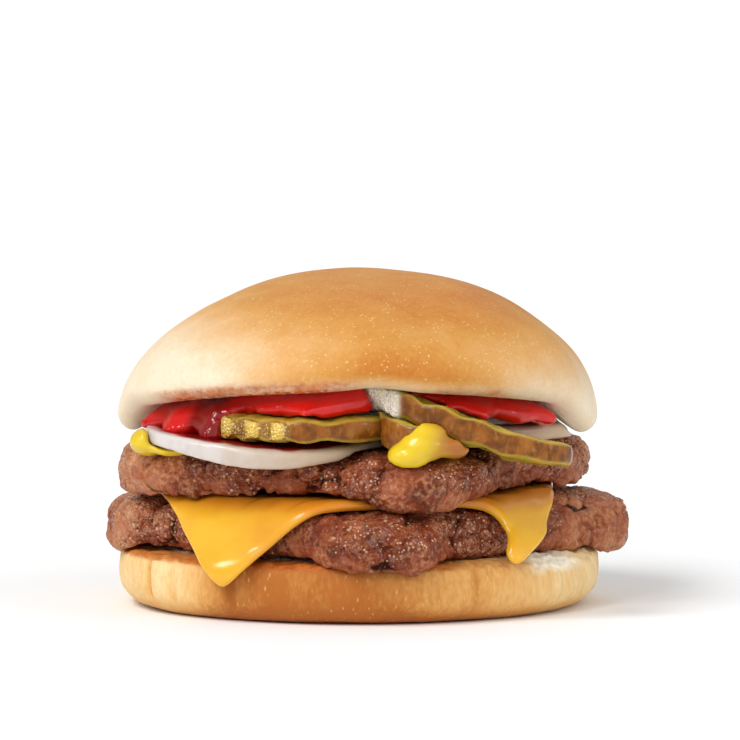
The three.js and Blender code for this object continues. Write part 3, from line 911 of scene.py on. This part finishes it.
@dataclass
class Heel:
    """The bottom half of the bun."""

    voxel: float = 0.6
    wrinkle: Pair = (3.2, 0.2)  # size and depth of the upright wrinkles
    crease: Pair = (6.5, 0.25)  # size and depth of the long creases
    lumps: Pair = (9.0, 0.1)  # size and depth of the broad unevenness
    folds: tuple[Pair, ...] = ((-150.5, 0.8), (-123.0, 0.7), (-141.0, 0.3), (-62.0, 0.25))
    fold_widths: Triple = (3.6, 1.3, 1.2)  # degrees, of a fold's swelling, its groove and the painted shade in it
    flat: float = 0.25  # height up to which the base is kept flat
    top: Fade = Fade(43.0, 40.0)  # radius, where the top is bare crumb
    bevel: Pair = (-33.0, 14.0)  # azimuth and half width of the crumb that shows in front
    bevelled: Fade = Fade(8.6, 10.6)  # height, where it shows
    brown_left: Sector = Sector(-97.0, 48.0, 14.0)  # the brown fades sooner to the left
    brown_right: Sector = Sector(-97.0, 66.0, 2.0)
    parting: float = -6.0  # x from which the right one holds
    toasted: Fade = Fade(39.0, 42.0)  # radius of the toasted ring on top
    gap: Sector = Sector(-24.0, 36.0, 52.0)  # in the toasted ring
    burnt: Fade = Fade(2.2, 0.3)  # height
    burnt_front: Sector = Sector(-95.0, 70.0, 20.0)

    def build(self) -> None:
        """Makes the wrinkled golden side, browner underneath, with pale crumb where it is cut."""
        mesh, points, out = refined("bun_heel", 2, self.voxel, 5)
        side = SIDE(np.abs(out[:, 2]))
        relief, folded = self.wrinkled(points, out[:, 2], side)
        points += out * relief[:, None]
        points[:, 2] = np.maximum(points[:, 2], 0.0)
        move(mesh, points)
        self.bake(mesh, points, out[:, 2], side * folded)
        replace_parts(place("bun_heel_crust", mesh, Finish.HEEL.material()), "bun_heel")

    def wrinkled(self, points: Array, facing: Array, side: Array) -> tuple[Array, Array]:
        """Works out the relief of the crust and of the cut crumb.

        Args:
            points: The vertices.
            facing: How far each faces up.
            side: How far each of them is on the upright side.

        Returns:
            How far each point moves outwards, and how much painted shade it gets from lying in one of the
            folds.
        """
        wrinkles = layered(stretched(points, 0.22), self.wrinkle[0], 3, 21)
        creases = noise(stretched(points, 0.12), self.crease[0], 33)
        creases = -ease(0.3, 0.0, np.abs(creases + 0.25)) ** 2
        relief = side * (self.wrinkle[1] * wrinkles + self.crease[1] * creases)
        relief += self.lumps[1] * layered(points, self.lumps[0], 3, 2)
        sway = 1.4 * noise(points * np.array([0.0, 0.0, 1.0]), 4.0, 5)
        folded = np.zeros(len(points))
        for azimuth, deep in self.folds:
            off = angle_to(points, azimuth + sway)
            swelling, groove, shade = (np.exp(-((off / width) ** 2)) for width in self.fold_widths)
            relief += side * deep * (0.5 * swelling - 1.5 * groove)
            folded = np.maximum(folded, deep * shade)
        relief -= 0.4 * (1.0 - side) * (facing > 0) * (0.5 - layered(points, 1.6, 2, 8))
        relief[points[:, 2] < self.flat] = 0.0
        return relief, folded

    def bake(self, mesh: Mesh, points: Array, facing: Array, folded: Array) -> None:
        """Stores how baked, burnt or bare the crust is, and the painted shade in its folds.

        Args:
            mesh: The heel's mesh.
            points: Its vertices.
            facing: How far each faces up.
            folded: How much painted shade each of them gets from lying in a fold of the side.
        """
        height = points[:, 2]
        bared = ease(1.0, 0.35, angle_to(points, self.bevel[0]) / self.bevel[1])
        edge = radius_of(points) + layered(points, 3.0, 2, 4)
        cut = self.top(edge) * (facing > 0.2)
        cut = np.maximum(cut, bared * self.bevelled(height + 0.5 * noise(points, 3.0, 6)))
        left = points[:, 0] < AXIS[0] + self.parting
        middle = np.where(left, self.brown_left(points), self.brown_right(points))
        tone = 0.1 + 0.9 * middle + 0.16 * noise(stretched(points, 0.4), 9.0, 14)
        tone += 0.3 * ease(4.0, 0.5, height) - 0.25 * ease(9.0, 12.0, height) * bared
        toasted = ease(0.35, 0.8, facing) * self.toasted(edge) * self.gap(points)
        burnt = self.burnt(height) * self.burnt_front(points)
        # The folds get painted shade, which makes them browner.
        tone = tone + 0.5 * toasted + 0.5 * folded
        store(mesh, tone=tone, stain=0.5 * burnt + 0.7 * toasted, crumb=cut)


@dataclass
class Patty:
    """A patty of coarse ground beef."""

    node: str
    seed: int
    voxel: float = 0.45
    broad: Pair = (9.0, 0.85)  # size and depth of the broad unevenness
    lump: Pair = (4.8, 0.75)  # size and height of the smooth lumps
    grain: Pair = (1.1, 0.5)  # size and height of the granules
    torn: Pair = (2.4, 0.34)  # size and depth of the torn surface
    cleft: float = 0.7  # depth of the clefts between the lumps
    warp: Pair = (4.5, 1.6)  # size and reach of what bends the lumps
    limits: Pair = (-1.6, 0.75)  # of the whole relief
    hidden: Fade = Fade(34.0, 26.0)  # radius, where the relief is weaker
    film: Pair = (19.0, 35.6)  # x and z of the thin mustard
    film_reach: Fade = Fade(5.0, 1.5)
    film_front: Fade = Fade(-40.0, -43.0)  # y
    paler: Fade = Fade(34.0, 48.0)  # how far to either side

    def build(self) -> None:
        """Gives the solid its granules, clefts and sear."""
        mesh, points, out = refined(self.node, 1, self.voxel, 2)
        relief = self.minced(mesh, points, out[:, 2])
        points += out * relief[:, None]
        move(mesh, points)
        x, y, z = (points - AXIS).T
        film = self.film_reach(np.hypot((x - self.film[0]) / 1.3, z - self.film[1]))
        film *= self.film_front(y) * (0.7 + 0.4 * noise(points, 3.0, 2))
        store(mesh, sauce=film, pale=0.27 * self.paler(np.abs(x)))
        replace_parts(place(self.node + "_meat", mesh, Finish.BEEF.material()), self.node)

    def minced(self, mesh: Mesh, points: Array, facing: Array) -> Array:
        """Works out the relief, and stores what the finish needs to know of it.

        Args:
            mesh: The patty's mesh.
            points: Its vertices.
            facing: How far each faces up.

        Returns:
            How far each point moves outwards.
        """
        bend = np.stack([layered(points, self.warp[0], 2, self.seed + k) for k in (1, 2, 3)], -1)
        warped = points + self.warp[1] * bend
        first, second, number = cells(warped, self.lump[0], self.seed)
        lump = domed(first) - 0.7
        torn = layered(points, self.torn[0], 3, self.seed + 17)
        open_here = ease(-0.15, 0.45, noise(points, 7.0, self.seed + 31))
        cleft = open_here * ease(0.16, 0.0, second - first + 0.05 * torn)
        small = cells(warped + 0.3 * torn[:, None], self.grain[0], self.seed + 5)[0]
        grainy = ease(-0.3, 0.4, noise(points, 8.0, self.seed + 41) + 0.25 * facing)
        grain = (domed(small) - 0.6) * grainy
        broad = layered(points, self.broad[0], 2, self.seed + 9)
        relief = self.broad[1] * broad + self.lump[1] * lump - self.cleft * cleft
        relief += self.grain[1] * grain + self.torn[1] * torn
        level = 0.62 + 0.3 * broad + 0.4 * lump - 0.55 * cleft + 0.25 * grain + 0.2 * torn
        store(mesh, grainy=grainy, height=np.clip(level, 0.0, 1.0), cell=number)
        return np.clip(relief * (1.0 - 0.6 * self.hidden(radius_of(points))), *self.limits)


@dataclass
class Cheese:
    """The molten slice."""

    tip: Sector = Sector(-44.0, 26.0, 18.0)  # the right front corner
    tip_height: float = 10.5
    fuller: float = 1.9  # how many times wider the tip is made
    turned: float = -3.8  # degrees by which it is turned about the bun's axis
    lowered: float = 0.9
    cheek: Triple = (7.5, 4.0, 3.4)  # height over the tip, half height and degrees of a bulge
    crest: Pair = (-31.5, 19.2)  # x and z of the swelling that catches the light
    crest_size: Triple = (4.5, 2.6, 1.15)  # its half width, half height and depth
    browned: Fade = Fade(20.8, 24.4)  # height, where it lies under the upper patty and gets a painted shadow
    melted: tuple[Fade, Fade] = (Fade(-30.0, -17.0), Fade(4.0, -6.0))  # x, where it gets a little painted shade

    def build(self) -> None:
        """Smooths the sheet, rounds its molten edges and fills the right front corner."""
        mesh, points, out = refined("cheese_slice", 3, None, 4)
        self.fill_tip(points)
        x = points[:, 0] - AXIS[0]
        wide, high, deep = self.crest_size
        swell = ((x - self.crest[0]) / wide) ** 2 + ((points[:, 2] - self.crest[1]) / high) ** 2
        swell = deep * np.exp(-swell) * ease(0.0, -0.4, out[:, 1])
        points += out * swell[:, None]
        points += out * (0.16 * layered(points, 8.0, 2, 3) + 0.12)[:, None]
        move(mesh, points)
        # A band of painted shade left of the middle.
        darker = 0.4 * self.melted[0](x) * self.melted[1](x)
        # The tint is painted shadow under the upper patty and the band of painted shade.
        store(mesh, tint=np.maximum(0.9 * self.browned(points[:, 2]), darker))
        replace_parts(place("cheese_melt", mesh, Finish.CHEESE.material()), "cheese_slice")

    def fill_tip(self, points: Array) -> None:
        """Widens, turns and lowers the right front corner along the patty.

        Args:
            points: The sheet's vertices, which are moved.
        """
        over = points[:, 2] - self.tip_height
        near = self.tip(points)
        low = near * ease(8.0, 1.0, over)
        cheek = near * np.exp(-(((over - self.cheek[0]) / self.cheek[1]) ** 2))
        azimuth = np.degrees(np.arctan2(points[:, 1] - AXIS[1], points[:, 0] - AXIS[0]))
        off = azimuth - self.tip.centre
        turn = low * ((self.fuller - 1.0) * off + self.turned)
        turn += cheek * self.cheek[2] * ease(-3.0, 3.0, off)
        to = np.radians(azimuth + turn)
        direction = np.stack([np.cos(to), np.sin(to)], -1)
        points[:, :2] = AXIS[:2] + direction * radius_of(points)[:, None]
        points[:, 2] -= self.lowered * low


@dataclass
class OnionSlice:
    """One slice of raw onion."""

    node: str
    centre: Pair
    browned: Fade  # x
    smeared: float = 0.0  # how much ketchup lies on it
    smear_reach: Fade = Fade(24.2, 22.6)  # from the slice's middle
    voxel: float = 0.42

    def build(self) -> None:
        """Adds the faint rings and an uneven cut."""
        mesh, points, out = refined(self.node, 2, self.voxel, 4)
        away = np.hypot(*(points[:, :2] - AXIS[:2] - np.array(self.centre)).T)
        points += out * (0.12 * layered(points, 5.0, 2, 7))[:, None]
        move(mesh, points)
        browning = self.browned(points[:, 0] - AXIS[0] + 2.0 * noise(points, 6.0, 11))
        smear = ease(0.6, 0.85, out[:, 2]) * self.smear_reach(away + noise(points, 4.0, 3))
        store(mesh, ring=away, tint=0.75 * browning, sauce=smear * self.smeared)
        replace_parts(place(self.node + "_flesh", mesh, Finish.ONION.material()), self.node)


@dataclass
class PickleSlice:
    """One crinkle-cut slice of pickle."""

    node: str
    centre: Pair
    radii: Pair
    wet: Pair | None = None  # from x to x, where the rim is wet cut flesh, lighter on its lobes and seeds by painted glitter
    lobe: Pair = (5.4, 0.6)  # from one lobe of the wet part to the next, and their depth
    first_lobe: float = 1.6  # how far it lies inside the wet part
    seeds: Pair = (1.0, 0.22)  # size and height of the seeds in it
    white: float | None = None  # left of this x the flesh is pale, partly with painted glare
    voxel: float = 0.38

    def build(self) -> None:
        """Sets skin on the rim and flesh on the faces."""
        mesh, points, out = refined(self.node, 2, self.voxel, 4)
        level = np.abs(out[:, 2])
        share = np.hypot(*((points[:, :2] - AXIS[:2] - np.array(self.centre)) / self.radii).T)
        skin = SIDE(level) * ease(0.8, 0.93, share)
        # Where the lighter line along the rim goes, partly a painted highlight.
        rim = ease(0.35, 0.6, level) * ease(0.86, 0.93, share)
        x = points[:, 0] - AXIS[0]
        wet = np.zeros(len(points))
        if self.wet:
            start, end = self.wet
            wet = ease(start - 1.0, start, x) * ease(end + 2.0, end, x) * skin
            bumps = self.seeds[1] * (0.6 - cells(points, self.seeds[0], 5)[0])
            lobes = np.cos(2.0 * np.pi * (x - start - self.first_lobe) / self.lobe[0])
            points += out * (wet * (bumps + self.lobe[1] * lobes))[:, None]
            # The lobes' crests get the lighter gold: painted glitter.
            wet *= 0.6 + 0.4 * ease(-0.6, 0.5, lobes)
        white = np.zeros(len(points))
        if self.white is not None:
            white = ease(self.white + 0.8, self.white - 0.8, x)
            points += out * (0.5 * white * layered(points, 2.6, 2, 12))[:, None]
        points += out * (0.1 * layered(points, 2.4, 2, 4))[:, None]
        move(mesh, points)
        store(mesh, skin=skin, rim=0.4 * rim, wet=wet, white=white)
        piece = place(self.node + "_slice", mesh, Finish.PICKLE.material())
        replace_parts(piece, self.node)


@dataclass
class Sauce:
    """A drop or spread of sauce that follows one of the solids."""

    node: str
    finish: Finish
    slot: str
    voxel: float = 0.42
    swell: float = 0.15
    soften: int = 10
    tinted: Fade | None = None  # x
    sags: tuple[tuple[Sector, float], ...] = ()  # fuller places and their depth
    hanging: Fade = Fade(30.0, 36.0)  # radius, where they can be
    shaded: Sector | None = None  # a darker part: painted shade

    def build(self) -> None:
        """Rounds the solid until it looks poured."""
        mesh, points, out = refined(self.node, 1, self.voxel, self.soften)
        more = np.zeros(len(points))
        for sector, depth in self.sags:
            more += depth * sector(points)
        more *= ease(0.3, -0.4, out[:, 2]) * self.hanging(radius_of(points))
        points += out * (self.swell + more + 0.18 * layered(points, 6.0, 2, 2))[:, None]
        move(mesh, points)
        if self.tinted:
            store(mesh, tint=self.tinted(points[:, 0] - AXIS[0] + noise(points, 2.5, 4)))
        if self.shaded:
            # The darker part is painted shade.
            store(mesh, tint=0.9 * self.shaded(points))
        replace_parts(place(self.node + "_sauce", mesh, self.finish.material()), self.node)


# Studio


def aim(obj: bpy.types.Object, back: Vector) -> None:
    """Makes a lamp or a camera look away from the direction at its back."""
    obj.rotation_mode = "QUATERNION"
    obj.rotation_quaternion = (-back).to_track_quat("-Z", "Y")


@dataclass
class Softlight:
    """A distant lamp so wide that its shadows are soft."""

    name: str
    toward: Triple  # from the burger to the lamp
    strength: float
    spread: float  # degrees across

    def build(self) -> None:
        """Places the lamp."""
        light = bpy.data.lights.new(self.name, "SUN")
        light.angle = math.radians(self.spread)
        light.energy = self.strength
        lamp = added(self.name, light)
        away = Vector(self.toward).normalized()
        lamp.location = away
        aim(lamp, away)


@dataclass
class Studio:
    """The camera, the pale floor and the lamps."""

    distance: float = 2000.0
    elevation: float = 4.75
    aim: Triple = (0.61, 0.72, 48.2)
    pixels_per_mm: float = 4.82
    picture: float = 740.0  # pixels across
    sensor: float = 36.0
    sight: float = 100.0  # metres
    floor: float = 60.0  # metres from the middle to each side
    floor_tones: tuple[Triple, Triple] = ((0.95, 0.955, 0.96), (0.965, 0.97, 0.975))
    sky: float = 0.46
    lamps: list[Softlight] = field(
        default_factory=lambda: [
            Softlight("key", (-0.62, -0.5, 1.0), 1.2, 20.0),
            Softlight("glint", (-0.4, -0.85, 0.6), 0.65, 15.0),
            Softlight("left", (-1.0, -0.45, 0.5), 0.42, 13.0),
            Softlight("right", (1.0, -0.4, 0.35), 0.55, 70.0),
            Softlight("edge", (1.0, -0.6, 0.45), 0.2, 12.0),
            Softlight("front", (0.2, -1.0, 0.4), 0.5, 80.0),
            Softlight("back", (0.1, 0.8, 0.9), 0.28, 60.0),
        ]
    )

    def build(self) -> None:
        """Sets up everything round the burger."""
        self.build_camera()
        self.build_floor()
        for lamp in self.lamps:
            lamp.build()
        world = bpy.data.worlds.new("studio")
        world.use_nodes = True
        sky = world.node_tree.nodes["Background"].inputs
        sky["Color"].default_value = (1.0, 1.0, 1.0, 1.0)
        sky["Strength"].default_value = self.sky
        bpy.context.scene.world = world
        bpy.context.scene.view_settings.view_transform = "Standard"

    def build_camera(self) -> None:
        """Sets a long lens a little above the table."""
        data = bpy.data.cameras.new("camera")
        data.sensor_width = self.sensor
        data.lens = self.sensor * self.pixels_per_mm * self.distance / self.picture
        data.clip_end = self.sight
        camera = added("camera", data)
        up = math.radians(self.elevation)
        back = Vector((0.0, -math.cos(up), math.sin(up)))
        camera.location = (Vector(self.aim) + back * self.distance) * MM
        aim(camera, back)
        bpy.context.scene.camera = camera

    def build_floor(self) -> None:
        """Lays a plain white table top."""
        mesh = bpy.data.meshes.new("floor")
        corners = [(x * self.floor, y * self.floor, 0.0) for x, y in ((-1, -1), (1, -1), (1, 1), (-1, 1))]
        mesh.from_pydata(corners, [], [(0, 1, 2, 3)])
        floor = added("floor", mesh)
        g = Graph("floor")
        grain = g.between(g.noise(40.0, 2.0), 0.0, 1.0)
        darker, lighter = (tone + (1.0,) for tone in self.floor_tones)
        g.set(Base_Color=g.mix(grain, darker, lighter), Roughness=0.9, Specular_IOR_Level=0.1)
        mesh.materials.append(g.material)


def main() -> None:
    """Builds the burger from the table up, then the studio."""
    logging.basicConfig(level=logging.INFO, format="%(name)s: %(message)s")
    pieces = [
        Crown(),
        Heel(),
        Patty("patty_lower", 3),
        Patty("patty_upper", 40),
        Cheese(),
        OnionSlice("onion_left", (-18.2, -20.6), Fade(-39.0, -2.0), 1.0),
        OnionSlice("onion_right", (25.5, -3.0), Fade(20.0, 40.0)),
        PickleSlice("pickle_left", (-9.2, -25.6), (20.9, 19.8), wet=(-29.0, -15.5)),
        PickleSlice("pickle_right", (22.2, -36.0), (21.2, 11.6), white=8.0),
        PickleSlice("pickle_middle", (12.9, -38.6), (9.4, 9.2)),
        Sauce("mustard_left", Finish.MUSTARD, "yellow_mustard"),
        Sauce("mustard_middle", Finish.MUSTARD, "yellow_mustard", tinted=Fade(11.5, 19.5)),
        Sauce(
            "ketchup", Finish.KETCHUP, "tomato_ketchup", voxel=0.5, swell=0.3, soften=6,
            sags=((Sector(-145.0, 26.0, 15.6), 1.3),), shaded=Sector(-134.0, 8.0, 4.0),
        ),
    ]
    for piece in pieces:
        piece.build()
    Studio().build()
    log.info("%d pieces and the studio are in place", len(pieces))


if __name__ == "__main__":
    main()
